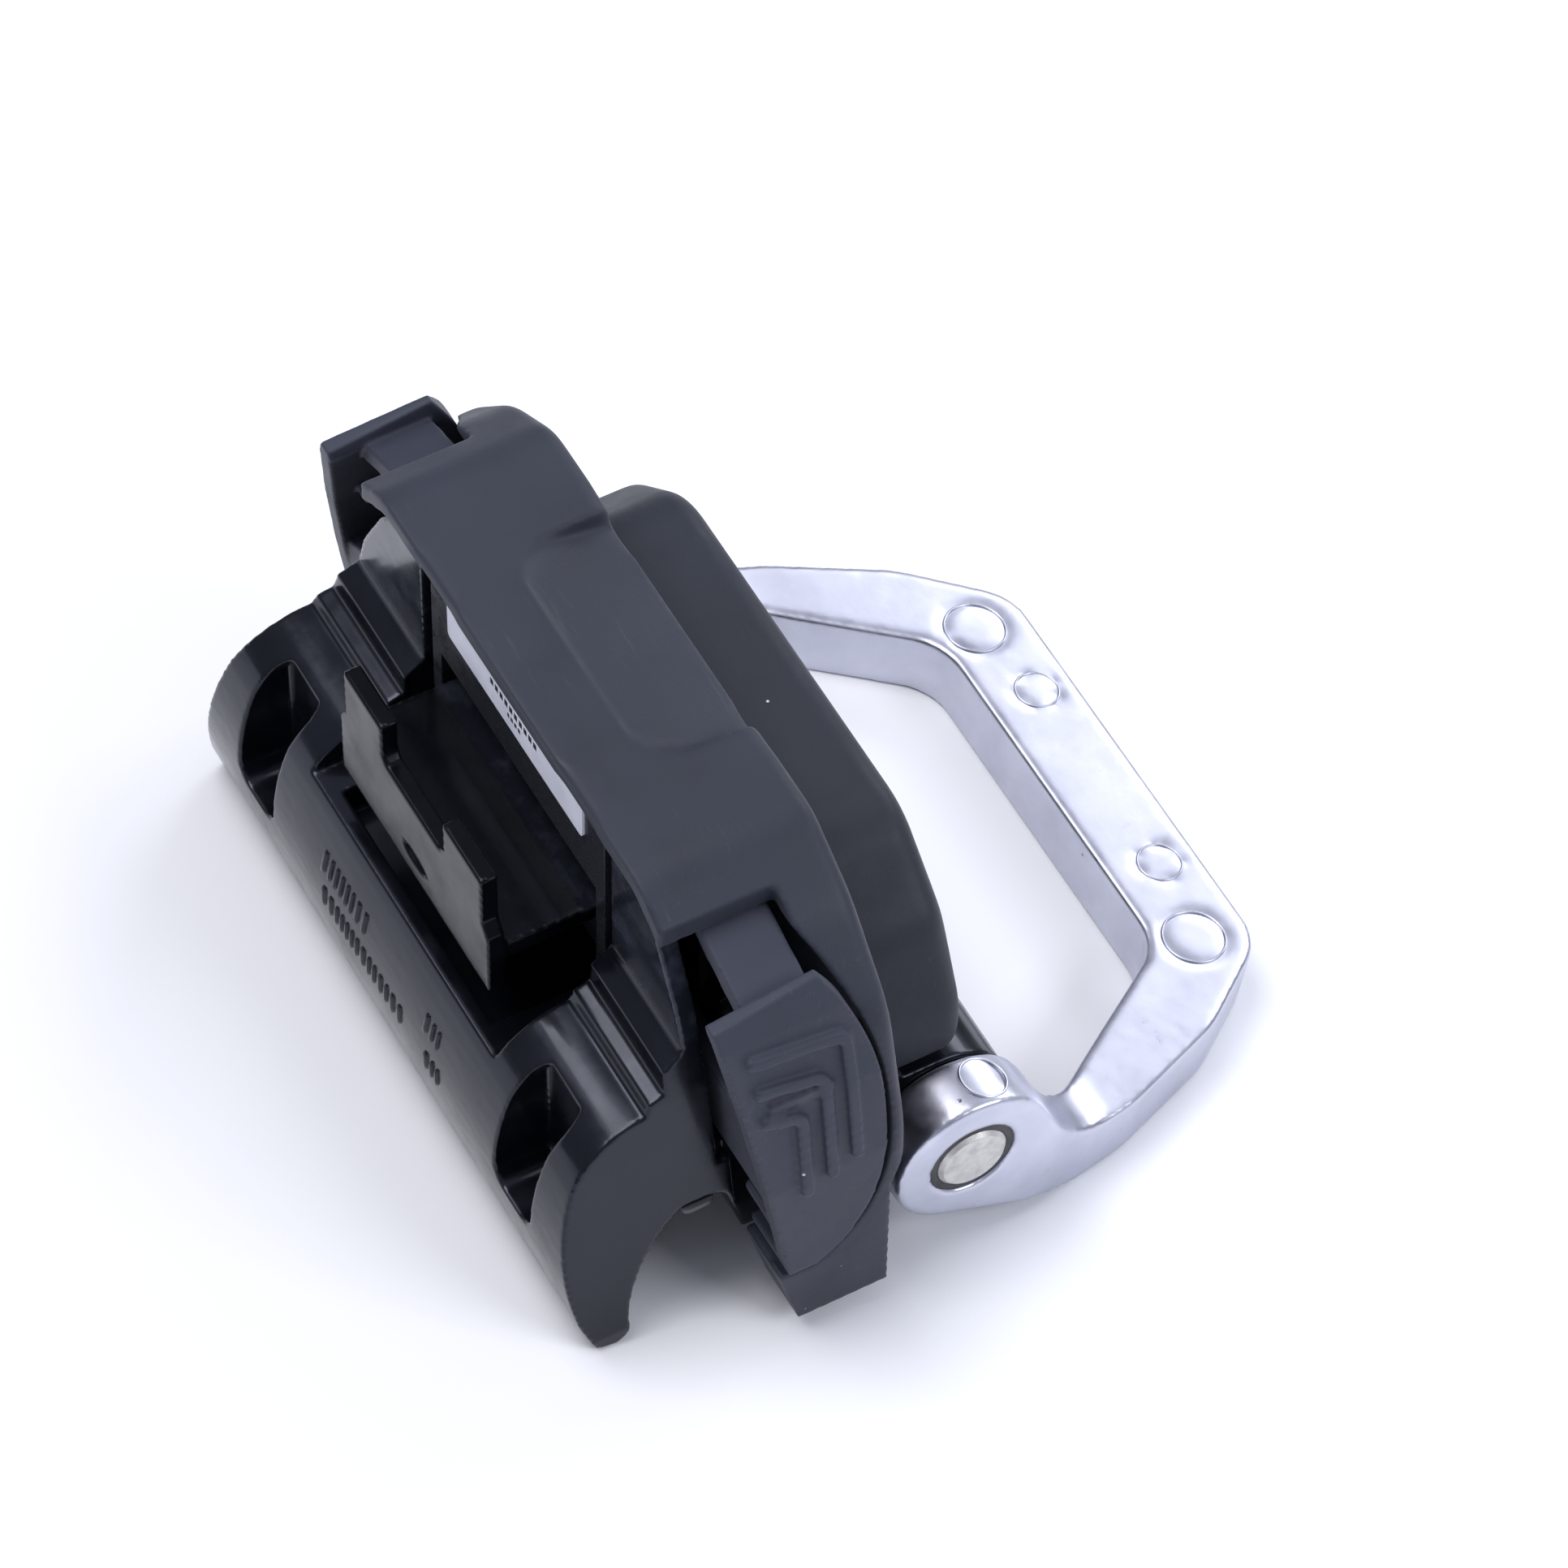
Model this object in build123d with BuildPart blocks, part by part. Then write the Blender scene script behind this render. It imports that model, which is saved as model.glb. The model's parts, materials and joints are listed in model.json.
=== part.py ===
from build123d import *
from math import cos, radians, sin
import os

# Sliding lashing eye for a luggage rail, in millimetres.
# The body is drawn upright: X runs along the rail, -Y is the casting side, +Y the bail side,
# and the origin is the front edge of the rail hook.  Every body piece is then leaned forward
# by LEAN and lifted, so that the finished part rests on its rail hook and its open bail.

# Driving dimensions
CAST_HALF = 38.0            # half length of the casting at the rail hook
BODY_HALF = 32.8            # half length of everything behind the rail channel
CHANNEL_TOP = 11.4          # ceiling of the rail channel
DECK_TOP = 15.5             # deck above the channel
PANE_Y = 13.8               # front face of the upright panes
WALL = 2.0                  # moulded and cast wall
PIN_Y, PIN_Z = 40.0, 4.5    # bail hinge axis
PIN_R = 3.6
PIN_FIT = 0.05              # radial running clearance of the bail on its pins
BUSH_WALL = 0.75
EAR_R = 8.0
EAR_IN, EAR_OUT = 33.4, 39.5
COVER_FRONT, COVER_BACK = 13.0, 31.0
REAR_BACK = 42.8            # back face of the rear cover
BAIL_REACH = 42.3           # hinge axis to outer edge of the bail's bar
BAIL_THICK = 7.3
RAMP = 0.85                 # latch lift per button travel
GAP = 0.4                   # clearance around moving covers
LEAN = 9.5
HOOK_TIP = (3.0, -1.8)      # y, z of the lowest point of the rail hook
LATCH_FRONT = (3.3, 40.0)   # y, z of the foremost corner once leaned

lean = radians(LEAN)
LIFT = -(HOOK_TIP[0] * sin(lean) + HOOK_TIP[1] * cos(lean))
AXIS_Y = PIN_Y * cos(lean) - PIN_Z * sin(lean)
AXIS_Z = PIN_Y * sin(lean) + PIN_Z * cos(lean) + LIFT
FRONT_Y = LATCH_FRONT[0] * cos(lean) - LATCH_FRONT[1] * sin(lean)
ORIGIN_Y = 0.5 * (AXIS_Y + BAIL_REACH + FRONT_Y)
REST = Location((0, -ORIGIN_Y, LIFT), (LEAN, 0, 0))
SETDOWN = Location((0, -ORIGIN_Y, 0))
SIDES = {"left": -1, "right": 1}

os.makedirs("parts", exist_ok=True)


def save(piece, node, place=REST):
    """Put one finished piece in its resting place and write its STEP file."""
    part = place * piece
    part.label = node
    export_step(part, f"parts/{node}.step")


def mirrored(points):
    """Close a right-hand outline, given from top to bottom, with its mirror image."""
    return points + [(-x, z) for x, z in reversed(points)]


def arch(half):
    """Closed symmetric outline from its right half, each corner given as x, z and radius."""
    corners = [(x, z) for x, z, _ in half]
    radii = [radius for _, _, radius in half]
    with BuildSketch() as outline:
        with BuildLine():
            FilletPolyline(*mirrored(corners), radius=radii + radii[::-1], close=True)
        make_face()
    return outline.sketch_local


# Clamp casting: rail hook, channel ceiling, panes, deck and hinge knuckles in one section.
CAST_FRONT = [(22.2, 44.6, 1), (25.9, 42.6, 6), (30.4, 34, 12), (32.8, 25.2, 14), (38, 0, 1),
              (38, -3, 0.5)]
WINDOW_HALF = 18.2
HOLLOW_HALF = 14.8
SLOT_X, SLOT_W = 25.8, 7.0
SCREW_X, SCREW_Y = 18.0, 26.5
CLIP_X, CLIP_Y = 12.0, 33.5
POST_X = (24.0, 27.0)
SPRING_Y, SPRING_Z = 22.6, 21.0

with BuildPart() as clamp_casting:
    with BuildSketch(Plane.YZ):
        with BuildLine():
            Polyline((3.0, -1.8), (1.6, -1.3), (0.3, 2.0))
            Spline((0.3, 2.0), (-0.6, 9.0), (-0.2, 14.0), (1.2, 19.0))
            ThreePointArc((1.2, 19.0), (4.6, 22.7), (9.4, 24.2))
            Polyline((9.4, 24.2), (9.9, 25.4), (11.5, 25.9), (11.7, 28.2), (13.3, 29.3))
            Polyline((13.3, 29.3), (PANE_Y, 29.9), (PANE_Y, 46.3), (PANE_Y + WALL, 46.3))
            Polyline((PANE_Y + WALL, 46.3), (PANE_Y + WALL, DECK_TOP), (35.6, DECK_TOP))
            Polyline((35.6, DECK_TOP), (36.2, 10.0), (36.2, -1.0), (19.6, -1.0))
            Polyline((19.6, -1.0), (16.2, 10.8), (15.2, CHANNEL_TOP), (11.4, CHANNEL_TOP))
            ThreePointArc((11.4, CHANNEL_TOP), (7.2, 6.9), (5.1, 0.6))
            ThreePointArc((5.1, 0.6), (4.6, -1.3), (3.0, -1.8))
        make_face()
    extrude(amount=CAST_HALF, both=True)
    with BuildSketch(Plane.XZ.offset(10)):
        add(arch(CAST_FRONT))
    extrude(amount=-60, mode=Mode.INTERSECT)
    # everything behind the channel stands inside the covers
    with Locations((35.5 + CAST_HALF / 2, 17 + 20, 10), (-35.5 - CAST_HALF / 2, 17 + 20, 10)):
        Box(2 * (35.5 - BODY_HALF) + CAST_HALF, 40, 80, mode=Mode.SUBTRACT)
    # relief that a pressed button runs into
    with Locations((38, 15.8, 15), (-38, 15.8, 15)):
        Box(10, 3, 20, align=(Align.CENTER, Align.MIN, Align.MIN), mode=Mode.SUBTRACT)
    # knuckles that carry the hinge pins
    with BuildSketch(Plane.YZ.offset(20)):
        with Locations((PIN_Y, PIN_Z)):
            Circle(7.2)
        with Locations((PIN_Y - 4.2, PIN_Z)):
            Rectangle(8.4, 14.4)
    extrude(amount=BODY_HALF - 20)
    mirror(about=Plane.YZ)
    with Locations(Plane.YZ.offset(-50)):
        with Locations((PIN_Y, PIN_Z)):
            Cylinder(PIN_R, 200, mode=Mode.SUBTRACT)
    # latch window and the hollow under it, with the tooth's way into the channel
    with Locations((0, 6, 20)):
        Box(2 * WINDOW_HALF, 22, 40, align=(Align.CENTER, Align.CENTER, Align.MIN), mode=Mode.SUBTRACT)
    with Locations((0, 9.6, 18.6)):
        Box(2 * HOLLOW_HALF, 12.4, 4, mode=Mode.SUBTRACT)
    with Locations((0, 11.1, 12)):
        Box(12.8, 4.2, 14, mode=Mode.SUBTRACT)
    # tall pockets in the skirt with rounded feet
    for side in (-1, 1):
        with BuildSketch(Plane.XZ.offset(5)):
            with Locations((side * SLOT_X, 15.8)):
                RectangleRounded(SLOT_W, 15.4, 2.2)
        extrude(amount=-10.2, mode=Mode.SUBTRACT)
        # weight-saving pocket under the deck
        with Locations((side * 17, 26.8, 3)):
            Box(25, 9.0, 18, mode=Mode.SUBTRACT)
        # step that the rear cover's side wall stands in
        with Locations((side * 32.3, 34, 14.4)):
            Box(4, 6.4, 4, mode=Mode.SUBTRACT)
        # spring post on the deck
        with Locations((side * sum(POST_X) / 2, SPRING_Y, DECK_TOP)):
            Box(POST_X[1] - POST_X[0], 5, 12, align=(Align.CENTER, Align.CENTER, Align.MIN))
    # screw holes through the deck
    with Locations((SCREW_X, SCREW_Y, 10), (-SCREW_X, SCREW_Y, 10)):
        Cylinder(1.7, 14, mode=Mode.SUBTRACT)
    with Locations((CLIP_X, CLIP_Y, 10), (-CLIP_X, CLIP_Y, 10)):
        Cylinder(1.4, 14, mode=Mode.SUBTRACT)
    with Locations((CLIP_X, CLIP_Y, 4), (-CLIP_X, CLIP_Y, 4)):
        Cylinder(2.4, 14, mode=Mode.SUBTRACT)
save(clamp_casting.part, "clamp_casting")

# Latch carrier: fixed black insert with the label panel and the spring shelf
with BuildPart() as latch_carrier:
    with Locations((0, 14.0, 34.2)):
        Box(33.4, 1.8, 10.4, align=(Align.CENTER, Align.MIN, Align.MIN))
    with Locations((0, 15.8, 41.6)):
        Box(33.4, 5.6, 1.8, align=(Align.CENTER, Align.MIN, Align.MIN))
    for side in (-1, 1):
        with Locations((side * 15.85, 14.0, 20)):
            Box(1.7, 1.8, 15, align=(Align.CENTER, Align.MIN, Align.MIN))
save(latch_carrier.part, "latch_carrier")

with BuildPart() as label:
    with BuildSketch(Plane.XZ.offset(-14.0)):
        with Locations((0, 42.0)):
            RectangleRounded(26, 5.0, 0.6)
    extrude(amount=0.25)
save(label.part, "label")

# Latch hook: notched front plate, web, tooth and ramp wedge
LATCH_PLATE_Y, LATCH_TOP = LATCH_FRONT
WEB_Z = (28.6, 30.6)
RAMP_X, RAMP_Z = 4.0, 19.0
ramp_top_x = RAMP_X + (27.8 - RAMP_Z) / RAMP

with BuildPart() as latch_hook:
    with BuildSketch(Plane.XZ.offset(-LATCH_PLATE_Y)):
        with BuildLine():
            Polyline((0, 24.6), (14.5, 24.6), (14.5, 32.5), (13.4, 34.0), (13.4, LATCH_TOP), (6.0, LATCH_TOP),
                     (6.0, 36.0), (5.2, 35.2), (0, 35.2), (0, 24.6))
        make_face()
        mirror(about=Plane.YZ)
    extrude(amount=-1.8)
    with Locations((0, LATCH_PLATE_Y, WEB_Z[0])):
        Box(28.8, 17.0, WEB_Z[1] - WEB_Z[0], align=(Align.CENTER, Align.MIN, Align.MIN))
    with Locations((0, 9.5, 8.9)):
        Box(12.0, 3.2, 20, align=(Align.CENTER, Align.MIN, Align.MIN))
    with BuildSketch(Plane.XZ.offset(-17.1)):
        Polygon((ramp_top_x, WEB_Z[0] + 1), (ramp_top_x, 27.8), (RAMP_X, RAMP_Z),
                (-RAMP_X, RAMP_Z), (-ramp_top_x, 27.8), (-ramp_top_x, WEB_Z[0] + 1), align=None)
    extrude(amount=-2.3)
    # oval dimple in the plate
    with BuildSketch(Plane.XZ.offset(-LATCH_PLATE_Y + 0.01)):
        with Locations((0, 27.4)):
            Ellipse(2.2, 0.9)
    extrude(amount=-0.6, mode=Mode.SUBTRACT)
save(latch_hook.part, "latch_hook")


def coil(radius, wire, length, turns):
    """Compression spring along +Z with its ends on z = 0 and z = length."""
    pitch = (length - wire) / turns
    with BuildPart() as spring:
        with BuildLine():
            path = Helix(pitch, pitch * turns, radius, center=(0, 0, wire / 2))
        with BuildSketch(Plane(origin=path @ 0, z_dir=path % 0)):
            Circle(wire / 2)
        sweep(is_frenet=True)
    return spring.part


for name, side in SIDES.items():
    latch_spring = coil(1.9, 0.5, 10.5, 6)
    save(Location((side * 9.5, 18.4, 30.85)) * latch_spring, f"{name}_latch_spring")

# Front cover: arch-shaped shell with a scooped top, side cut-outs and two feet
COVER_OUT = [(24.5, 47.2, 7), (32, 42.6, 12), (39.4, 34.2, 12), (42.9, 20.5, 22), (43, -2.8, 3)]
FOOT_IN = 36.2
FOOT_TOP = 5.2
SCOOP_TILT = radians(12)
SCOOP = Plane(origin=(0, 20, 47), x_dir=(1, 0, 0), z_dir=(0, sin(SCOOP_TILT), cos(SCOOP_TILT)))


def button_outline(grow):
    """Side view of a button, its bulging rear edge included, grown by a clearance."""
    with BuildSketch() as outline:
        with BuildLine():
            Polyline((18.6 - grow, 5.6 - grow), (13.4 - grow, 40.2 + grow), (24.2 + grow, 41.6 + grow))
            Spline((24.2 + grow, 41.6 + grow), (28.2 + grow, 32), (29.0 + grow, 22), (26.2 + grow, 10),
                   (21.5, 5.6 - grow))
            Line((21.5, 5.6 - grow), (18.6 - grow, 5.6 - grow))
        make_face()
    return outline.sketch_local


with BuildPart() as front_cover:
    with BuildSketch(Plane.XZ.offset(-COVER_BACK)):
        add(arch(COVER_OUT))
    extrude(amount=COVER_BACK - COVER_FRONT)
    rear_rim = edges().group_by(Axis.Y)[-1].filter_by(lambda e: e.center().Z > 0)
    fillet(rear_rim, 1.6)
    with BuildSketch(Plane.YZ.offset(-50)):
        Polygon((10, 55), (33, 55), (33, 17.5), (COVER_BACK, 16.5), (29.2, 12.5), (29.2, -4),
                (20.2, -4), (16.3, 11.4), (10, 11.4), align=None)
    extrude(amount=100, mode=Mode.INTERSECT)
    with BuildSketch(Plane.XZ.offset(-COVER_BACK + WALL)):
        add(arch(COVER_OUT))
        offset(amount=-WALL)
    extrude(amount=30, mode=Mode.SUBTRACT)
    with Locations((0, 22, 0)):
        Box(2 * FOOT_IN, 30, 32, mode=Mode.SUBTRACT)
    with BuildSketch(Plane.YZ.offset(FOOT_IN)):
        Polygon((29.2, FOOT_TOP + 7), (29.2, -2.8), (19.9, -2.8), (17.8, FOOT_TOP), (25, FOOT_TOP),
                align=None)
    extrude(amount=43 - FOOT_IN)
    mirror(about=Plane.YZ)
    # thumb scoop in the top, with a thicker wall below it
    with Locations((0, COVER_BACK - 1, 42.0)):
        Box(29, 8.5, 4, align=(Align.CENTER, Align.MAX, Align.MIN))
    with BuildSketch(SCOOP):
        with Locations((0, 8)):
            RectangleRounded(27, 16, 5)
    extrude(amount=5, mode=Mode.SUBTRACT)
    for side in (-1, 1):
        # cut-out that the button fills
        with BuildSketch(Plane.YZ.offset(28.7 if side > 0 else -60)):
            add(button_outline(GAP))
            Polygon((5, 55), (24.2, 55), (24.6, 40), (18, 5.2), (5, 5.2), align=None)
        extrude(amount=31.3, mode=Mode.SUBTRACT)
        # screw boss
        with Locations((side * SCREW_X, SCREW_Y, DECK_TOP)):
            Cylinder(3.2, 30.5, align=(Align.CENTER, Align.CENTER, Align.MIN))
    with Locations((SCREW_X, SCREW_Y, DECK_TOP), (-SCREW_X, SCREW_Y, DECK_TOP)):
        Cylinder(1.5, 16, mode=Mode.SUBTRACT)
save(front_cover.part, "front_cover")

# Rear cover: lower arch behind the front cover
REAR_OUT = [(20.5, 35.6, 8), (28.8, 28, 8), (32.8, 18.5, 8), (32.8, 13.2, 0.6)]

with BuildPart() as rear_cover:
    with BuildSketch(Plane.XZ.offset(-REAR_BACK)):
        add(arch(REAR_OUT))
    extrude(amount=REAR_BACK - COVER_BACK - 0.1)
    rear_edges = edges().group_by(Axis.Y)[-1].filter_by(lambda e: e.center().Z > 14)
    fillet(rear_edges, 2.4)
    with BuildSketch(Plane.XZ.offset(-REAR_BACK + WALL)):
        add(arch(REAR_OUT))
        offset(amount=-WALL)
    extrude(amount=20, mode=Mode.SUBTRACT)
    with Locations((0, 30, 12)):
        Box(2 * (BODY_HALF - WALL), 20.2, 8, mode=Mode.SUBTRACT)
    for side in (-1, 1):
        with Locations((side * CLIP_X, CLIP_Y + 0.1, DECK_TOP + 0.1)):
            Cylinder(2.3, 18.6, align=(Align.CENTER, Align.CENTER, Align.MIN))
        with Locations((side * CLIP_X, 38.0, 24)):
            Box(1.6, 6.2, 16)
    with Locations((CLIP_X, CLIP_Y, DECK_TOP), (-CLIP_X, CLIP_Y, DECK_TOP)):
        Cylinder(1.1, 20, mode=Mode.SUBTRACT)
save(rear_cover.part, "rear_cover")

# Buttons: hollow side keys with a top tongue, ribs, grip bars and a ramp arm
BUTTON_OUT = [(36.3, 43), (36.9, 42.4), (38.9, 38), (41.2, 29), (42.7, 19), (43.4, 5)]
ARM_Y = (17.0, 19.4)
GRIP_RISE = 0.7


def make_button():
    """Right-hand button; the left one is its mirror image."""
    # three nested L-shaped grip bars that stand proud of the outer face
    with BuildPart() as grip:
        with BuildSketch(Plane.YZ.offset(38)):
            for inset in (0, 1, 2):
                low_y, high_y = 16.4 + 0.3 * inset, 25.6 - 2.6 * inset
                top_z, low_z = 35.2 - 3.6 * inset, 20.4 - 1.2 * inset
                with BuildLine():
                    FilletPolyline((low_y, top_z + 1), (high_y, top_z), (high_y, low_z), radius=1.2)
                    offset(amount=0.6)
                make_face()
        extrude(amount=7)
        with BuildSketch(Plane.XZ):
            rim = [(x + GRIP_RISE, z) for x, z in BUTTON_OUT]
            root = [(x - 1, z) for x, z in reversed(BUTTON_OUT)]
            Polygon(*rim, *root, align=None)
        extrude(amount=-40, mode=Mode.INTERSECT)
    # the hollow, open to the front and towards the casting
    with BuildPart() as hollow:
        with BuildSketch(Plane.YZ.offset(30)):
            add(button_outline(-1.5))
            Polygon((5, 39), (16, 38.8), (20, 7), (5, 7), align=None)
        extrude(amount=12)
        with BuildSketch(Plane.XZ):
            Polygon(*[(x - 2.1, z) for x, z in BUTTON_OUT], (30, 5), (30, 43), align=None)
        extrude(amount=-40, mode=Mode.INTERSECT)
    with BuildPart() as button:
        with BuildSketch(Plane.YZ.offset(36.3)):
            add(button_outline(0))
        extrude(amount=8)
        with BuildSketch(Plane.XZ):
            Polygon(*BUTTON_OUT, (36.3, 5), align=None)
        extrude(amount=-40, mode=Mode.INTERSECT)
        add(hollow.part, mode=Mode.SUBTRACT)
        # tongue that slides under the front cover
        with BuildSketch(Plane.XZ.offset(-17.2)):
            Polygon((25.6, 41.4), (28.3, 40.2), (36.9, 36.8), (36.9, 39.2), (28.3, 42.1), (25.6, 43.0),
                    align=None)
        extrude(amount=-6.8)
        # inner ribs
        for height in (12.6, 29.5):
            with BuildSketch(Plane.XY.offset(height)):
                Polygon((37, 17.4), (41.3, 17.4), (41.3, 24), (37, 24), align=None)
            extrude(amount=1.2)
        # ramp arm under the latch
        arm_low = DECK_TOP + 0.6
        ramp_gap = 0.2
        tip_x = RAMP_X + 1.5
        tip_z = RAMP_Z + RAMP * (tip_x - RAMP_X) - ramp_gap
        flat_z = 24.0
        flat_x = RAMP_X + (flat_z + ramp_gap - RAMP_Z) / RAMP
        with BuildSketch(Plane.XZ.offset(-ARM_Y[0])):
            Polygon((tip_x, arm_low), (41.2, arm_low), (41.2, flat_z - 4), (34, flat_z), (flat_x, flat_z),
                    (tip_x, tip_z), align=None)
        extrude(amount=ARM_Y[0] - ARM_Y[1])
        add(grip.part)
    return button.part


button = make_button()
save(button, "right_button")
save(mirror(button, about=Plane.YZ, mode=Mode.PRIVATE), "left_button")

for name, side in SIDES.items():
    button_spring = coil(2.0, 0.6, 10.6, 6)
    turned = Location((side * (POST_X[1] + 0.1), SPRING_Y, SPRING_Z), (0, side * 90, 0))
    save(turned * button_spring, f"{name}_button_spring")

# Bail: closed loop that lies flat when open, so it is drawn at rest on the floor
LOOP_OUT = [(23.6, BAIL_REACH, 6), (31.0, 32.8, 12), (36.4, 20.5, 20), (EAR_OUT, 8, 14),
            (EAR_OUT, -EAR_R - 0.4, 0.8)]
LOOP_IN = [(20.4, 32.4, 6), (28.6, 20.4, 10), (EAR_IN, 13.6, 8), (EAR_IN, -EAR_R - 1, 0.4)]

with BuildPart() as tie_down_bail:
    with BuildSketch(Plane(origin=(0, AXIS_Y, 0))):
        add(arch(LOOP_OUT))
        add(arch(LOOP_IN), mode=Mode.SUBTRACT)
    extrude(amount=AXIS_Z + EAR_R)
    with BuildSketch(Plane.YZ.offset(-50)):
        with BuildLine():
            Polyline((AXIS_Y - 3.4, AXIS_Z - 7.24), (AXIS_Y + 14, 0), (AXIS_Y + 43, 0))
            Polyline((AXIS_Y + 43, 0), (AXIS_Y + 43, BAIL_THICK), (AXIS_Y + 18, BAIL_THICK))
            Spline((AXIS_Y + 18, BAIL_THICK), (AXIS_Y + 6, AXIS_Z + 5.29), tangents=[(-1, 0), (-5.29, 6)])
            Line((AXIS_Y + 6, AXIS_Z + 5.29), (AXIS_Y - 3.4, AXIS_Z - 7.24))
        make_face()
        with Locations((AXIS_Y, AXIS_Z)):
            Circle(EAR_R)
    extrude(amount=100, mode=Mode.INTERSECT)
    with Locations(Plane.YZ.offset(-50)):
        with Locations((AXIS_Y, AXIS_Z)):
            Cylinder(PIN_R + PIN_FIT + BUSH_WALL, 200, mode=Mode.SUBTRACT)
    # moulded ejector marks on the upper face
    for side in (-1, 1):
        with BuildSketch(Plane.XY.offset(BAIL_THICK)):
            with Locations((side * 21.1, AXIS_Y + 36.4)):
                Circle(3.45)
                Circle(2.9, mode=Mode.SUBTRACT)
            with Locations((side * 11.8, AXIS_Y + 38.1)):
                Circle(2.5)
                Circle(2.1, mode=Mode.SUBTRACT)
        extrude(amount=-0.3, mode=Mode.SUBTRACT)
save(tie_down_bail.part, "tie_down_bail", SETDOWN)

for name, side in SIDES.items():
    across = Plane(origin=(side * EAR_IN, AXIS_Y, AXIS_Z), x_dir=(0, 1, 0), z_dir=(side, 0, 0))
    with BuildPart() as hinge_bush:
        with BuildSketch(across):
            Circle(PIN_R + PIN_FIT + BUSH_WALL)
            Circle(PIN_R + PIN_FIT, mode=Mode.SUBTRACT)
        extrude(amount=EAR_OUT - EAR_IN - 0.3)
    save(hinge_bush.part, f"{name}_hinge_bush", SETDOWN)

    across = Plane(origin=(side * 21, PIN_Y, PIN_Z), x_dir=(0, 1, 0), z_dir=(side, 0, 0))
    with BuildPart() as hinge_pin:
        with BuildSketch(across):
            Circle(PIN_R)
        extrude(amount=EAR_OUT - 21 + 0.1)
        chamfer(edges().filter_by(GeomType.CIRCLE), 0.4)
    save(hinge_pin.part, f"{name}_hinge_pin")

    across = Plane(origin=(side * (BODY_HALF + 0.1), PIN_Y, PIN_Z), x_dir=(0, 1, 0), z_dir=(side, 0, 0))
    with BuildPart() as friction_washer:
        with BuildSketch(across):
            Circle(6.6)
            Circle(PIN_R + 0.05, mode=Mode.SUBTRACT)
        extrude(amount=0.4)
    save(friction_washer.part, f"{name}_friction_washer")

    with BuildPart() as rail_pad:
        with BuildSketch(Plane.XY.offset(CHANNEL_TOP - 0.6)):
            with Locations((side * 33.2, 13.3)):
                RectangleRounded(5.6, 3.4, 0.8)
        extrude(amount=0.6)
    save(rail_pad.part, f"{name}_rail_pad")


def screw(head_r, shank_r, length):
    """Pan-head screw whose head rests on z = 0 with its shank pointing up."""
    with BuildPart() as fastener:
        with BuildSketch(Plane.XY.offset(-2.2)):
            Circle(head_r)
        extrude(amount=2.2)
        fillet(edges().group_by(Axis.Z)[0], 0.8)
        with BuildSketch(Plane.XY):
            Circle(shank_r)
        extrude(amount=length)
        with BuildSketch(Plane.XY.offset(-2.2)):
            RegularPolygon(head_r * 0.45, 6)
        extrude(amount=1.2, mode=Mode.SUBTRACT)
    return fastener.part


with BuildPart() as cover_screws:
    with Locations((SCREW_X, SCREW_Y, 12.0), (-SCREW_X, SCREW_Y, 12.0)):
        add(screw(2.9, 1.5, 11))
save(cover_screws.part, "cover_screws")

with BuildPart() as rear_cover_screws:
    with Locations((CLIP_X, CLIP_Y, 11.0), (-CLIP_X, CLIP_Y, 11.0)):
        add(screw(2.2, 1.1, 13))
save(rear_cover_screws.part, "rear_cover_screws")
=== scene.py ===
import json
import math
import random

import bpy
import numpy as np
from mathutils import Matrix, Quaternion, Vector
from mathutils.bvhtree import BVHTree

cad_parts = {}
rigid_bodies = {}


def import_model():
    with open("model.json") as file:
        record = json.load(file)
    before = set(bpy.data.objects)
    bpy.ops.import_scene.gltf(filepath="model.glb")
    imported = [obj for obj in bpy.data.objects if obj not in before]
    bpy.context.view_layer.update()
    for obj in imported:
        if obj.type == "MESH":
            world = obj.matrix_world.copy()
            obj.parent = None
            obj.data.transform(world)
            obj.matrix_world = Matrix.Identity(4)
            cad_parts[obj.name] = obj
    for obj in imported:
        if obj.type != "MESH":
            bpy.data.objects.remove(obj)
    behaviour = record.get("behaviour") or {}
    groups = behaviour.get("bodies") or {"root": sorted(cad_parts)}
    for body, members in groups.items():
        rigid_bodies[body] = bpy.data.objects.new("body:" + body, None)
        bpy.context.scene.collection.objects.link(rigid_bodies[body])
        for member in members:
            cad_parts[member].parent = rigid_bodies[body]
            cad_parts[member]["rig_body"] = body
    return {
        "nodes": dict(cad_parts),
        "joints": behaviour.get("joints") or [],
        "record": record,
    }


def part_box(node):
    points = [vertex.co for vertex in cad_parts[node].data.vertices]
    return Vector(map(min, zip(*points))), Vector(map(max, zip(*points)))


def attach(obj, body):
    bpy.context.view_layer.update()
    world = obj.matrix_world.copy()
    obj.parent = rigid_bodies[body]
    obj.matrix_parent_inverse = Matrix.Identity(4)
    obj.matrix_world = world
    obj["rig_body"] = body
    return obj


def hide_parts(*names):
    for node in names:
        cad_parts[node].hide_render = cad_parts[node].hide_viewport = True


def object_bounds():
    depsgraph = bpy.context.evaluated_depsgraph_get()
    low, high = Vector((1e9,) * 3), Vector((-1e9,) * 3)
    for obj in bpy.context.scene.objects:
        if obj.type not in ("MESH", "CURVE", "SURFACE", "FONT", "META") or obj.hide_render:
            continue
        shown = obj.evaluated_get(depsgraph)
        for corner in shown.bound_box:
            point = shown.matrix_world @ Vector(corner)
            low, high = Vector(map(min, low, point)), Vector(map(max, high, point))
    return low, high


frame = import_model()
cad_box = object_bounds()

# The body of the lashing eye leans forward on its rail hook.  Places on it are given here as they
# are on the upright body, in millimetres: x along the rail, y towards the bail, z up.
MM = 0.001
LEAN = math.radians(9.5)
HINGE = Vector(next(j["pos_m"] for j in frame["joints"] if j["name"] == "bail_hinge"))
HINGE_UPRIGHT = Vector((0, 40.0, 4.5))
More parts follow.
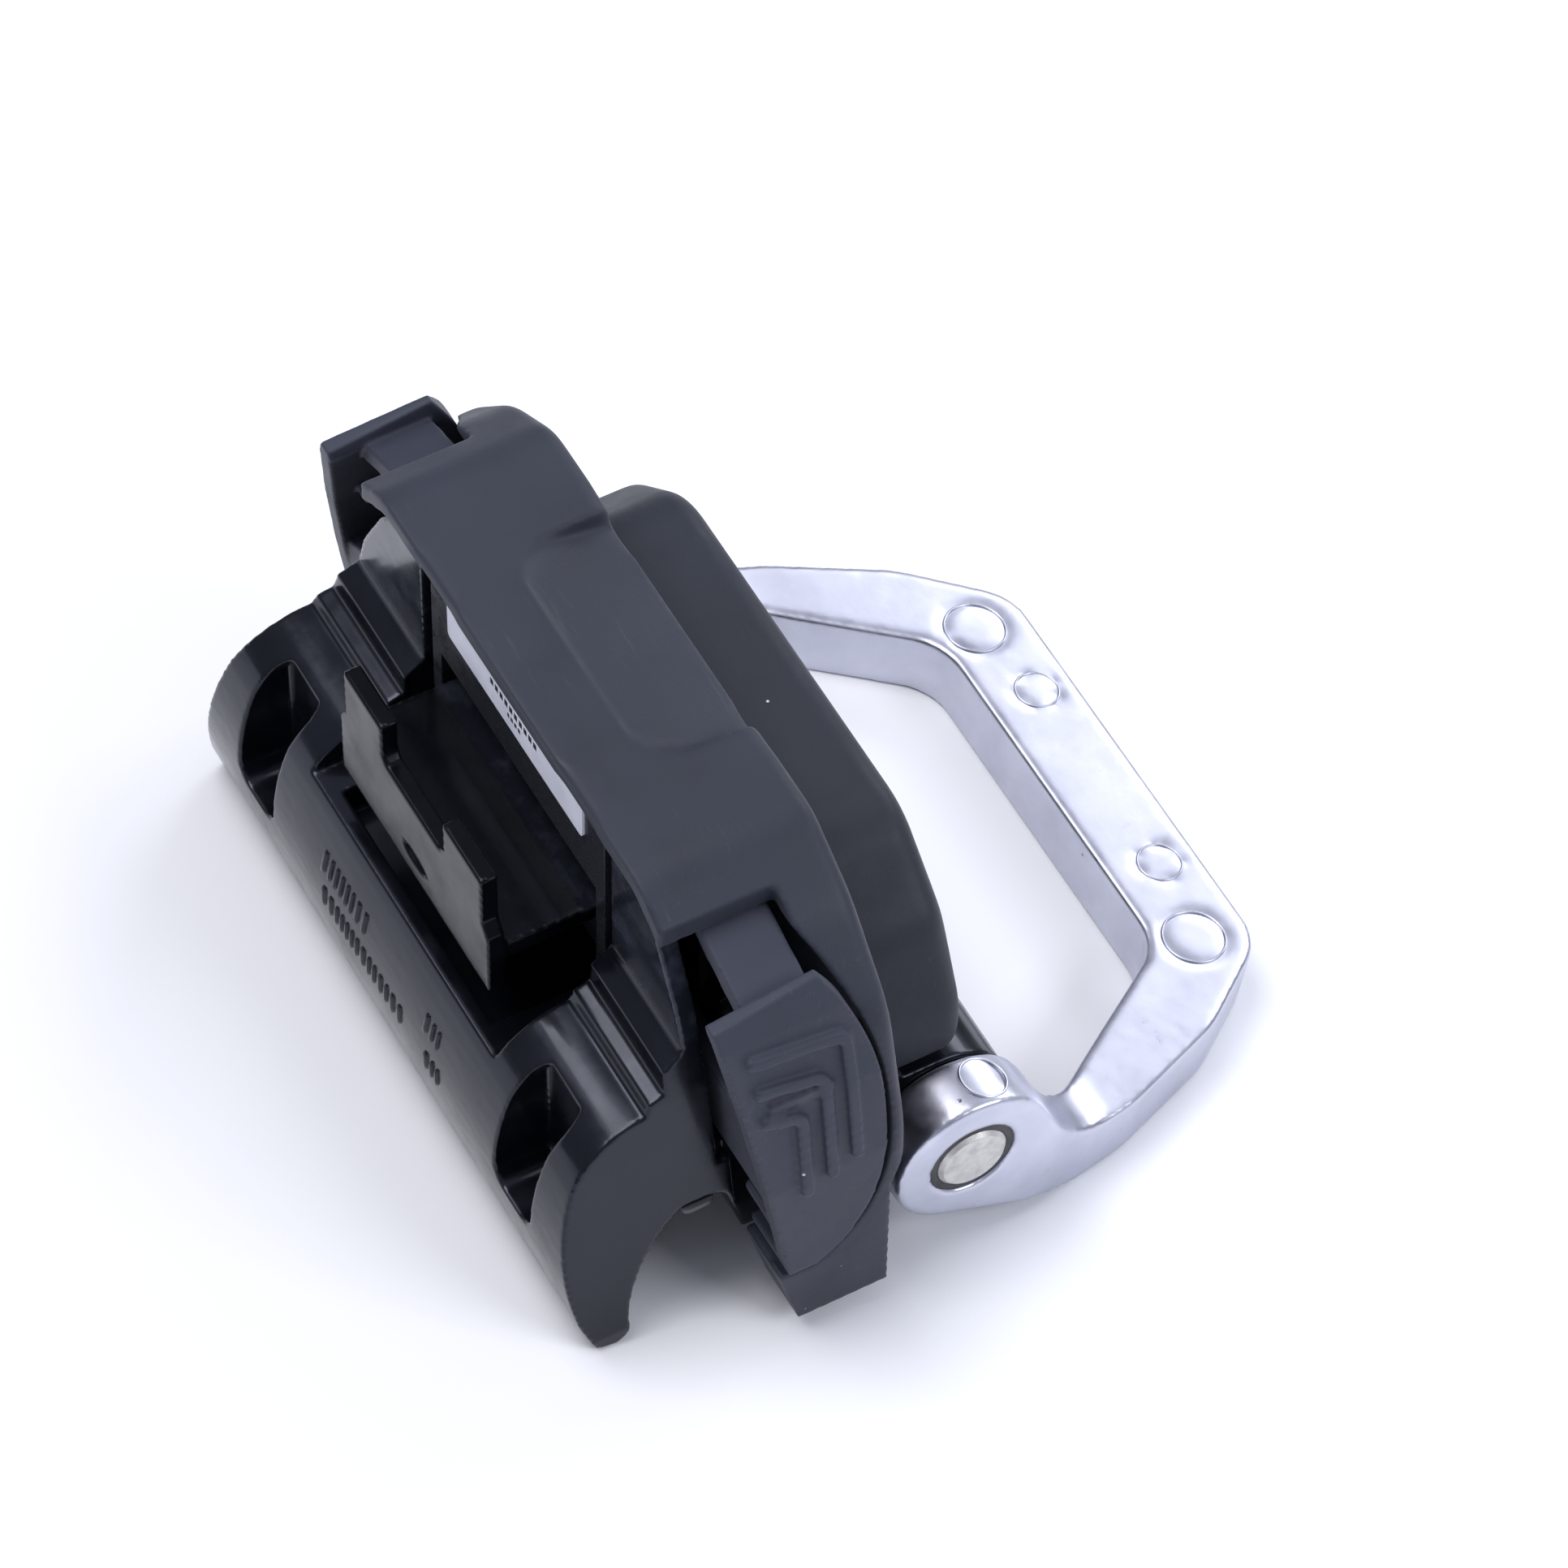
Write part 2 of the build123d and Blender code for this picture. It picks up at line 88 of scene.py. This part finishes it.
LEANING = Matrix.Rotation(LEAN, 3, "X")
SLOT_OF = {s["node"]: s["material_slot"] for s in frame["record"]["subparts"]}
random.seed(17)


def upright(x, y, z):
    """A point of the upright body, as it lies on the leaning one, in metres."""
    return HINGE + LEANING @ (Vector((x, y, z)) - HINGE_UPRIGHT) * MM


def to_upright(points):
    """Points of the row frame, one per row in metres, as places on the upright body."""
    turned = (points - np.array(HINGE)) @ np.array(LEANING)
    return turned / MM + np.array(HINGE_UPRIGHT)


# ---------------------------------------------------------------- materials
class Look:
    """A material with one Principled shader, and short ways to add nodes to it."""

    def __init__(self, name, values):
        self.material = bpy.data.materials.new(name)
        self.material.use_nodes = True
        self.tree = self.material.node_tree
        self.shader = self.tree.nodes["Principled BSDF"]
        for key, value in values.items():
            self.shader.inputs[key].default_value = value
        self.place = self.add("ShaderNodeTexCoord").outputs["Object"]

    def add(self, kind, inputs=(), **settings):
        """A new node with these settings; each input is a number, a colour or another node's output."""
        node = self.tree.nodes.new(kind)
        for key, value in settings.items():
            setattr(node, key, value)
        for key, value in dict(inputs).items():
            if isinstance(value, bpy.types.NodeSocket):
                self.tree.links.new(value, node.inputs[key])
            else:
                node.inputs[key].default_value = value
        return node

    def stretched(self, scale, turn=(0, 0, 0)):
        """Object coordinates, turned and scaled apart along each axis."""
        inputs = {"Vector": self.place, "Scale": scale, "Rotation": turn}
        return self.add("ShaderNodeMapping", inputs).outputs[0]

    def noise(self, size_mm, detail=2.0, rough=0.5, place=None):
        inputs = {"Vector": place or self.place, "Scale": 1000 / size_mm}
        inputs |= {"Detail": detail, "Roughness": rough}
        return self.add("ShaderNodeTexNoise", inputs).outputs["Fac"]

    def cells(self, size_mm):
        """Distance to the nearest of many scattered points."""
        inputs = {"Vector": self.place, "Scale": 1000 / size_mm}
        return self.add("ShaderNodeTexVoronoi", inputs).outputs["Distance"]

    def remap(self, value, low, high, to_low=0.0, to_high=1.0):
        inputs = {"Value": value, "From Min": low, "From Max": high, "To Min": to_low, "To Max": to_high}
        return self.add("ShaderNodeMapRange", inputs, clamp=True).outputs["Result"]

    def math(self, operation, first, second=0.0):
        return self.add("ShaderNodeMath", {0: first, 1: second}, operation=operation).outputs[0]

    def colour(self, factor, first, second):
        """first where the factor is 0, second where it is 1."""
        node = self.add("ShaderNodeMix", {0: factor}, data_type="RGBA")
        for socket, value in ((node.inputs[6], first), (node.inputs[7], second)):
            if isinstance(value, bpy.types.NodeSocket):
                self.tree.links.new(value, socket)
            else:
                socket.default_value = (*value, 1)
        return node.outputs[2]

    def bump(self, height, depth_mm, under=None):
        """A bump whose height, from 0 to 1, stands for this many millimetres."""
        inputs = {"Height": height, "Distance": depth_mm * MM, "Strength": 1.0}
        node = self.add("ShaderNodeBump", inputs)
        if under is not None:
            self.tree.links.new(under, node.inputs["Normal"])
        return node.outputs[0]

    def soft_edges(self, radius_mm):
        """Normals that round every sharp edge a little."""
        return self.add("ShaderNodeBevel", {"Radius": radius_mm * MM}, samples=6).outputs[0]

    def body_axes(self):
        """x, y and z of the upright body, in millimetres."""
        moved = self.add("ShaderNodeVectorMath", {0: self.place, 1: HINGE}, operation="SUBTRACT").outputs[0]
        inputs = {"Vector": moved, "Angle": LEAN, "Axis": (-1, 0, 0), "Center": (0, 0, 0)}
        turned = self.add("ShaderNodeVectorRotate", inputs, rotation_type="AXIS_ANGLE").outputs[0]
        scaled = self.add("ShaderNodeVectorMath", {0: turned, "Scale": 1 / MM}, operation="SCALE").outputs[0]
        home = self.add("ShaderNodeVectorMath", {0: scaled, 1: HINGE_UPRIGHT}, operation="ADD").outputs[0]
        return self.add("ShaderNodeSeparateXYZ", {0: home}).outputs

    def specks(self, spacing_mm, share, size=0.12):
        """Small scattered dots: 1 on a dot and 0 off it.  share is the part of the cells that have one."""
        voronoi = self.add("ShaderNodeTexVoronoi", {"Vector": self.place, "Scale": 1000 / spacing_mm})
        dot = self.remap(voronoi.outputs["Distance"], size, size * 0.6)
        chosen = self.add("ShaderNodeSeparateColor", {0: voronoi.outputs["Color"]}).outputs[0]
        return self.math("MULTIPLY", dot, self.math("LESS_THAN", chosen, share))

    def finish(self, colour, roughness, normal):
        for socket, value in (("Base Color", colour), ("Roughness", roughness), ("Normal", normal)):
            self.tree.links.new(value, self.shader.inputs[socket])
        return self.material


def black_coat(name, painted_shade_scale=1.0, shine=1.0):
    """Gloss black coating on cast metal: orange peel, a lighter mottled grey on the pane face and a little
    dust. A colour scale below 1 darkens the whole colour as painted shade.
    """
    values = {"Coat Weight": 0.12 * shine, "Coat Roughness": 0.05, "Specular IOR Level": 0.36 * shine}
    values["Specular Tint"] = (0.75, 0.82, 1.0, 1)
    look = Look(name, values)
    axes = look.body_axes()
    # Both tones are scaled down together as painted shade when the scale is below 1, as on the latch plate.
    deep = (0.0020 * painted_shade_scale, 0.0023 * painted_shade_scale, 0.0036 * painted_shade_scale)
    lit = (0.0055 * painted_shade_scale, 0.0065 * painted_shade_scale, 0.0105 * painted_shade_scale)
    base = look.colour(look.remap(look.noise(9, 3), 0.3, 0.7), deep, lit)
    # A lighter, mottled grey laid over the pane face, behind y 13 and above z 30 of the upright body.
    pane_mottle = look.remap(look.noise(3.2, 4, 0.6), 0.5, 0.72)
    pane = look.math("MULTIPLY", look.remap(axes[2], 30.0, 31.0), look.remap(axes[1], 12.5, 13.5))
    pane_tone = look.colour(pane_mottle, (0.012, 0.014, 0.021), (0.034, 0.039, 0.055))
    base = look.colour(pane, base, pane_tone)
    base = look.colour(look.specks(3.1, 0.10, 0.05), base, (0.42, 0.43, 0.47))
    roughness = look.remap(look.noise(5, 4, 0.6), 0.3, 0.75, 0.12, 0.30)
    peel = look.bump(look.noise(1.3, 1.0), 0.006, look.soft_edges(0.25))
    grit = look.bump(look.remap(look.noise(0.28, 2), 0.55, 0.8), 0.0012, peel)
    return look.finish(base, roughness, grit)


def moulded(name, tone, grain_mm=0.16, chips=0.05):
    """Fine-grained dark plastic: sparkle-eroded texture, long scuffs, dust and small white chips."""
    look = Look(name, {"Specular IOR Level": 0.32, "Sheen Weight": 0.04, "Sheen Roughness": 0.5})
    light = tuple(c * 1.35 for c in tone)
    base = look.colour(look.remap(look.noise(14, 3), 0.3, 0.7), tone, light)
    streaks = look.noise(1.0, 3, 0.6, look.stretched((0.16, 1.6, 1.0), (0.4, 0.2, 0.5)))
    patches = look.remap(look.noise(11, 2), 0.48, 0.62)
    scuffed = look.math("MULTIPLY", look.remap(streaks, 0.60, 0.74), patches)
    base = look.colour(look.math("MULTIPLY", scuffed, 0.45), base, tuple(c * 2.4 for c in tone))
    base = look.colour(look.specks(4.3, 0.16, 0.045), base, (0.55, 0.56, 0.58))
    base = look.colour(look.specks(7.5, chips, 0.05), base, (0.86, 0.87, 0.9))
    roughness = look.remap(look.noise(7, 4, 0.6), 0.3, 0.7, 0.46, 0.64)
    beads = look.math("MULTIPLY", look.cells(grain_mm * 1.7), 0.5)
    grain = look.math("ADD", look.noise(grain_mm, 2, 0.6), beads)
    normal = look.bump(grain, 0.012, look.soft_edges(0.3))
    worn = look.bump(look.remap(streaks, 0.66, 0.78), -0.006, normal)
    return look.finish(base, roughness, worn)


def cast_aluminium(name):
    """Satin tumbled die casting: faint cloudiness, fine grain, dark pits and rubbed marks."""
    look = Look(name, {"Metallic": 1.0})
    cloud = look.remap(look.noise(8, 4, 0.55), 0.32, 0.68)
    base = look.colour(cloud, (0.52, 0.53, 0.62), (0.62, 0.63, 0.72))
    base = look.colour(look.math("MULTIPLY", look.specks(3.4, 0.12, 0.07), 0.8), base, (0.16, 0.15, 0.17))
    base = look.colour(look.math("MULTIPLY", look.specks(5.7, 0.10, 0.10), 0.5), base, (0.42, 0.40, 0.50))
    roughness = look.remap(look.noise(2.5, 4, 0.6), 0.3, 0.72, 0.27, 0.42)
    tumbled = look.bump(look.noise(1.9, 2), 0.012)
    grain = look.bump(look.noise(0.22, 2), 0.003, tumbled)
    pits = look.bump(look.specks(3.4, 0.12, 0.07), -0.05, grain)
    return look.finish(base, roughness, pits)


def turned_steel(name, tone, rings_mm=0.25, rough=(0.3, 0.5)):
    """Bright steel with faint machining rings and stains."""
    look = Look(name, {"Metallic": 0.9})
    stains = look.remap(look.noise(1.8, 4, 0.6), 0.42, 0.7)
    base = look.colour(stains, tone, tuple(c * 0.78 for c in tone))
    base = look.colour(look.math("MULTIPLY", look.specks(1.3, 0.2, 0.08), 0.7), base, (0.2, 0.19, 0.18))
    roughness = look.remap(look.noise(0.9, 3), 0.3, 0.7, *rough)
    waves = look.noise(rings_mm, 1, 0.5, look.stretched((0.2, 1.0, 1.0)))
    normal = look.bump(waves, 0.012, look.soft_edges(0.12))
    return look.finish(base, roughness, normal)


def plain_plastic(name, tone, rough=(0.34, 0.5)):
    """Smooth moulded plastic with faint flow marks."""
    look = Look(name, {"Specular IOR Level": 0.5})
    base = look.colour(look.remap(look.noise(3, 3), 0.3, 0.7), tone, tuple(min(1.0, c * 1.25) for c in tone))
    base = look.colour(look.specks(2.6, 0.12, 0.06), base, tuple(c * 0.5 for c in tone))
    roughness = look.remap(look.noise(1.6, 3), 0.3, 0.7, *rough)
    flow = look.noise(1.0, 2, 0.5, look.stretched((0.4, 1.0, 1.4)))
    return look.finish(base, roughness, look.bump(flow, 0.015, look.soft_edges(0.2)))


def printed_label(name):
    """White satin film with rows of plain dashes."""
    look = Look(name, {"Specular IOR Level": 0.45})
    x, _, z = look.body_axes()
    paper = look.colour(look.remap(look.noise(4, 3), 0.35, 0.7), (0.74, 0.76, 0.86), (0.84, 0.86, 0.94))
    ink = None
    for centre, half_height, half_length, pitch in ((42.5, 0.42, 4.6, 0.92), (41.2, 0.3, 1.3, 0.7)):
        row = look.math("LESS_THAN", look.math("ABSOLUTE", look.math("SUBTRACT", z, centre)), half_height)
        run = look.math("LESS_THAN", look.math("ABSOLUTE", x), half_length)
        dash = look.math("LESS_THAN", look.math("FRACT", look.math("DIVIDE", x, pitch)), 0.66)
        mark = look.math("MULTIPLY", look.math("MULTIPLY", row, run), dash)
        ink = mark if ink is None else look.math("MAXIMUM", ink, mark)
    base = look.colour(ink, paper, (0.03, 0.03, 0.04))
    roughness = look.remap(look.noise(1.2, 3), 0.3, 0.7, 0.3, 0.45)
    return look.finish(base, roughness, look.bump(look.noise(0.5, 2), 0.006))


MATERIALS = {
    "black_coat": black_coat("gloss_black_coat"),
    # The latch plate: a darker, less shiny copy of the gloss black coat, its colour scaled to 0.45 as
    # painted shade.
    "latch_black": black_coat("gloss_black_latch_painted_shade", 0.45, 0.45),
    "carrier_black": plain_plastic("black_carrier", (0.012, 0.013, 0.017), (0.22, 0.36)),
    "label_white": printed_label("white_label"),
    "cover_charcoal": moulded("charcoal_cover", (0.019, 0.023, 0.035)),
    "rear_charcoal": moulded("charcoal_rear_cover", (0.012, 0.015, 0.023), 0.14, 0.02),
    "button_charcoal": moulded("charcoal_button", (0.027, 0.031, 0.047), 0.18, 0.08),
    "zinc_steel": turned_steel("zinc_steel", (0.60, 0.61, 0.64)),
    "bail_aluminium": cast_aluminium("satin_aluminium"),
    "bush_black": plain_plastic("black_bush", (0.014, 0.014, 0.017)),
    "pin_steel": turned_steel("pin_steel", (0.66, 0.64, 0.62), 0.4, (0.38, 0.55)),
    "pad_grey": plain_plastic("dark_rail_pad", (0.05, 0.052, 0.06)),
}


def dress(piece, slot):
    """Gives a piece the material of one of the record's slots."""
    piece.data.materials.clear()
    piece.data.materials.append(MATERIALS[slot])
    piece.data.polygons.foreach_set("material_index", [0] * len(piece.data.polygons))


# ---------------------------------------------------------------- cast and moulded skins
def apply_modifiers(piece):
    """Bakes a piece's modifiers into its mesh."""
    depsgraph = bpy.context.evaluated_depsgraph_get()
    mesh = bpy.data.meshes.new_from_object(piece.evaluated_get(depsgraph))
    piece.modifiers.clear()
    piece.data = mesh


def corners(mesh):
    """The mesh's vertices, one per row."""
    points = np.zeros(len(mesh.vertices) * 3)
    mesh.vertices.foreach_get("co", points)
    return points.reshape(-1, 3)


def softened(node, voxel_mm, rounds, triangles, softness=None):
    """Stands for a CAD node with its edges rounded as its mould leaves them.

    softness takes the places of the vertices and gives each its share of the rounding.
    """
    source = frame["nodes"][node]
    piece = bpy.data.objects.new(f"{node}_skin", source.data.copy())
    bpy.context.scene.collection.objects.link(piece)
    weld = piece.modifiers.new("weld", "WELD")
    weld.merge_threshold = 1e-6
    remesh = piece.modifiers.new("remesh", "REMESH")
    remesh.mode = "VOXEL"
    remesh.voxel_size = voxel_mm * MM * 1
    apply_modifiers(piece)
    smooth = piece.modifiers.new("smooth", "SMOOTH")
    smooth.factor = 0.5
    smooth.iterations = rounds // 1
    if softness is not None:
        group = piece.vertex_groups.new(name="softness")
        shares = np.round(np.clip(softness(corners(piece.data)), 0, 1), 1)
        for share in np.unique(shares):
            group.add([int(i) for i in np.flatnonzero(shares == share)], float(share), "REPLACE")
        smooth.vertex_group = "softness"
    apply_modifiers(piece)
    faces = 2 * len(piece.data.polygons)
    if faces > triangles:
        thin = piece.modifiers.new("thin", "DECIMATE")
        thin.ratio = triangles / faces
        apply_modifiers(piece)
    piece.data.polygons.foreach_set("use_smooth", [True] * len(piece.data.polygons))
    dress(piece, SLOT_OF[node])
    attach(piece, source["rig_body"])
    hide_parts(node)
    return piece


def near_hinge(points):
    """Less rounding close to the hinge bore, so that its rim stays crisp."""
    rim, fade, least = 4.9, 1.6, 0.06
    distance = np.hypot(points[:, 1] - HINGE.y, points[:, 2] - HINGE.z) / MM
    return np.clip((distance - rim) / fade, least, 1)


def scoop_fade(points):
    """Much more rounding round the thumb scoop of the front cover, so that it fades out."""
    scoop_edge, reach, fade, scoop_floor, least = 13.5, 4.5, 2.0, 42, 0.12
    x, _, z = to_upright(points).T
    beside = np.abs(np.abs(x) - scoop_edge)
    inside = np.clip((reach - beside) / fade, 0, 1) * np.clip(z - scoop_floor, 0, 1)
    return np.maximum(least, inside)


bail = softened("tie_down_bail", 0.30, 22, 90000, near_hinge)
casting = softened("clamp_casting", 0.19, 7, 180000)
softened("front_cover", 0.26, 60, 110000, scoop_fade)
softened("rear_cover", 0.30, 10, 50000)
softened("latch_hook", 0.20, 4, 50000)
for button in ("left_button", "right_button"):
    softened(button, 0.20, 4, 70000)


# ---------------------------------------------------------------- small details
def new_piece(name, vertices, faces, slot, body):
    """A mesh piece that rides on a body."""
    mesh = bpy.data.meshes.new(name)
    mesh.from_pydata([tuple(v) for v in vertices], [], faces)
    mesh.update()
    mesh.polygons.foreach_set("use_smooth", [True] * len(faces))
    piece = bpy.data.objects.new(name, mesh)
    bpy.context.scene.collection.objects.link(piece)
    dress(piece, slot)
    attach(piece, body)
    return piece


def surface_tree(piece):
    """A search tree of a piece's faces, in the row frame."""
    points = [v.co for v in piece.data.vertices]
    return BVHTree.FromPolygons(points, [tuple(p.vertices) for p in piece.data.polygons])


def pillow(tree, start, across, up, away, size, rise, sink, steps=(9, 7)):
    """A low raised bar that follows the surface below it: its vertices and faces.

    start is its middle, across and up are its unit directions, and away points off the surface.
    """
    columns, rows = steps
    top, bottom = [], []
    for j in range(rows):
        for i in range(columns):
            u, v = 2 * i / (columns - 1) - 1, 2 * j / (rows - 1) - 1
            point = start + across * (u * size[0] / 2) + up * (v * size[1] / 2)
            hit, normal, _, _ = tree.ray_cast(point + away * 0.02, -away)
            if hit is None:
                hit, normal = point, away
            crown = (1 - u ** 6) * (1 - v ** 6)
            top.append(hit + normal * (rise * crown ** 0.5 - sink * (1 - crown)))
            bottom.append(hit - normal * sink * 2)
    vertices = top + bottom
    count = columns * rows
    faces = []
    for j in range(rows - 1):
        for i in range(columns - 1):
            a = j * columns + i
            quad = (a, a + 1, a + columns + 1, a + columns)
            faces.append(quad)
            faces.append(tuple(count + k for k in reversed(quad)))
    rim = list(range(columns))
    rim += [j * columns + columns - 1 for j in range(1, rows)]
    rim += [(rows - 1) * columns + i for i in range(columns - 2, -1, -1)]
    rim += [j * columns for j in range(rows - 2, 0, -1)]
    for a, b in zip(rim, rim[1:] + rim[:1]):
        faces.append((b, a, count + a, count + b))
    return vertices, faces


def joined(parts):
    """Several lists of vertices and faces as one."""
    vertices, faces = [], []
    for part_vertices, part_faces in parts:
        base = len(vertices)
        vertices += part_vertices
        faces += [tuple(base + i for i in face) for face in part_faces]
    return vertices, faces


def cast_marks():
    """Plain raised bars on the skirt of the casting, where a foundry puts its marks."""
    tree = surface_tree(casting)
    across, up, away = Vector((1, 0, 0)), LEANING @ Vector((0, 0, 1)), LEANING @ Vector((0, -1, 0))
    parts = []
    rows = ((-12.5, 14.6, 3.2, 8), (-12.0, 10.2, 3.0, 14), (8.0, 14.4, 2.8, 3), (8.6, 9.6, 2.8, 3))
    for left, height, tall, count in rows:
        x = left
        for _ in range(count):
            wide = random.choice((0.45, 0.5, 0.85))
            middle = upright(x + wide / 2, -1, height)
            size = (wide * MM, tall * MM)
            parts.append(pillow(tree, middle, across, up, away, size, 0.28 * MM, 0.12 * MM, (5, 9)))
            x += wide + 0.55
    return new_piece("cast_marks", *joined(parts), "black_coat", "frame")


def ring(centre, normal, radius, wire, steps=48, sides=8):
    """A thin torus: its vertices and faces."""
    turn = Vector(normal).to_track_quat("Z", "Y")
    vertices, faces = [], []
    for i in range(steps):
        a = 2 * math.pi * i / steps
        for j in range(sides):
            b = 2 * math.pi * j / sides
            reach = radius + wire * math.cos(b)
            local = Vector((reach * math.cos(a), reach * math.sin(a), wire * math.sin(b)))
            vertices.append(centre + turn @ local)
            after, above = (i + 1) % steps, (j + 1) % sides
            faces.append((i * sides + j, after * sides + j, after * sides + above, i * sides + above))
    return vertices, faces


def ejector_rings():
    """Shallow rings that the ejector pins leave on the upper face of the bail."""
    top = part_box("tie_down_bail")[1].z
    tree = surface_tree(bail)
    parts = []
    places = [(side * 21.1, 36.4, 3.1) for side in (-1, 1)]
    places += [(side * 11.8, 38.1, 2.2) for side in (-1, 1)]
    places += [(side * 36.4, 1.2, 2.3) for side in (-1, 1)]
    for x, reach, radius in places:
        above = Vector((x * MM, HINGE.y + reach * MM, top + 10 * MM))
        hit, normal, _, _ = tree.ray_cast(above, Vector((0, 0, -1)))
        parts.append(ring(hit - normal * 0.05 * MM, normal, radius * MM, 0.13 * MM))
    return new_piece("ejector_rings", *joined(parts), "bail_aluminium", "bail")


cast_marks()
ejector_rings()

for node, source in frame["nodes"].items():
    dress(source, SLOT_OF[node])

# ---------------------------------------------------------------- stage, light and camera
middle = (cad_box[0] + cad_box[1]) / 2


def floor():
    """A pale matt floor."""
    bpy.ops.mesh.primitive_plane_add(size=6, location=(0, 0, 0))
    ground = bpy.context.object
    ground.name = "floor"
    look = Look("pale_floor", {"Specular IOR Level": 0.2})
    tone = look.colour(look.noise(300, 2), (0.86, 0.87, 0.90), (0.89, 0.90, 0.93))
    roughness = look.remap(look.noise(90, 2), 0.3, 0.7, 0.75, 0.85)
    ground.data.materials.append(look.finish(tone, roughness, look.bump(look.noise(1.5, 2), 0.01)))


def softbox(name, azimuth, elevation, distance, size, power, tone):
    """A square area light that faces the object."""
    light = bpy.data.lights.new(name, "AREA")
    light.shape = "RECTANGLE"
    light.size, light.size_y = size
    light.energy = power
    light.color = tone
    lamp = bpy.data.objects.new(name, light)
    a, e = math.radians(azimuth), math.radians(elevation)
    away = Vector((math.sin(a) * math.cos(e), -math.cos(a) * math.cos(e), math.sin(e)))
    lamp.location = middle + away * distance
    lamp.rotation_mode = "QUATERNION"
    lamp.rotation_quaternion = away.to_track_quat("Z", "Y")
    bpy.context.scene.collection.objects.link(lamp)


def sky():
    """A dim studio room, lighter overhead than near the horizon."""
    world = bpy.data.worlds.new("studio")
    bpy.context.scene.world = world
    world.use_nodes = True
    tree = world.node_tree
    direction = tree.nodes.new("ShaderNodeTexCoord").outputs["Generated"]
    split = tree.nodes.new("ShaderNodeSeparateXYZ")
    ramp = tree.nodes.new("ShaderNodeValToRGB")
    ramp.color_ramp.elements[0].position, ramp.color_ramp.elements[0].color = 0.0, (0.36, 0.37, 0.42, 1)
    ramp.color_ramp.elements[1].position, ramp.color_ramp.elements[1].color = 0.9, (0.80, 0.83, 0.98, 1)
    tree.links.new(direction, split.inputs[0])
    tree.links.new(split.outputs[2], ramp.inputs[0])
    tree.links.new(ramp.outputs[0], tree.nodes["Background"].inputs["Color"])
    tree.nodes["Background"].inputs["Strength"].default_value = 0.55


def camera():
    """The photographed view: from high on the right-hand front."""
    azimuth, elevation, distance, roll = 50.54, 48.07, 0.74, 13.63
    data = bpy.data.cameras.new("camera")
    data.lens = 182
    data.clip_start, data.clip_end = 0.05, 20
    viewer = bpy.data.objects.new("camera", data)
    a, e = math.radians(azimuth), math.radians(elevation)
    back = Vector((math.sin(a) * math.cos(e), -math.cos(a) * math.cos(e), math.sin(e)))
    aim = Vector((0, 0, 0.0222))
    viewer.location = aim + back * distance
    viewer.rotation_mode = "QUATERNION"
    turned = (-back).to_track_quat("-Z", "Y")
    viewer.rotation_quaternion = Quaternion(back, math.radians(roll)) @ turned
    bpy.context.scene.collection.objects.link(viewer)
    bpy.context.scene.camera = viewer


floor()
sky()
softbox("key", -25, 62, 0.9, (0.55, 0.55), 6.0, (1.0, 0.99, 1.0))
softbox("side", 120, 40, 0.9, (0.5, 0.3), 3.0, (0.93, 0.95, 1.0))
softbox("rim", 205, 35, 0.9, (0.7, 0.25), 3.2, (0.92, 0.94, 1.0))
camera()
bpy.context.scene.view_settings.view_transform = "Standard"
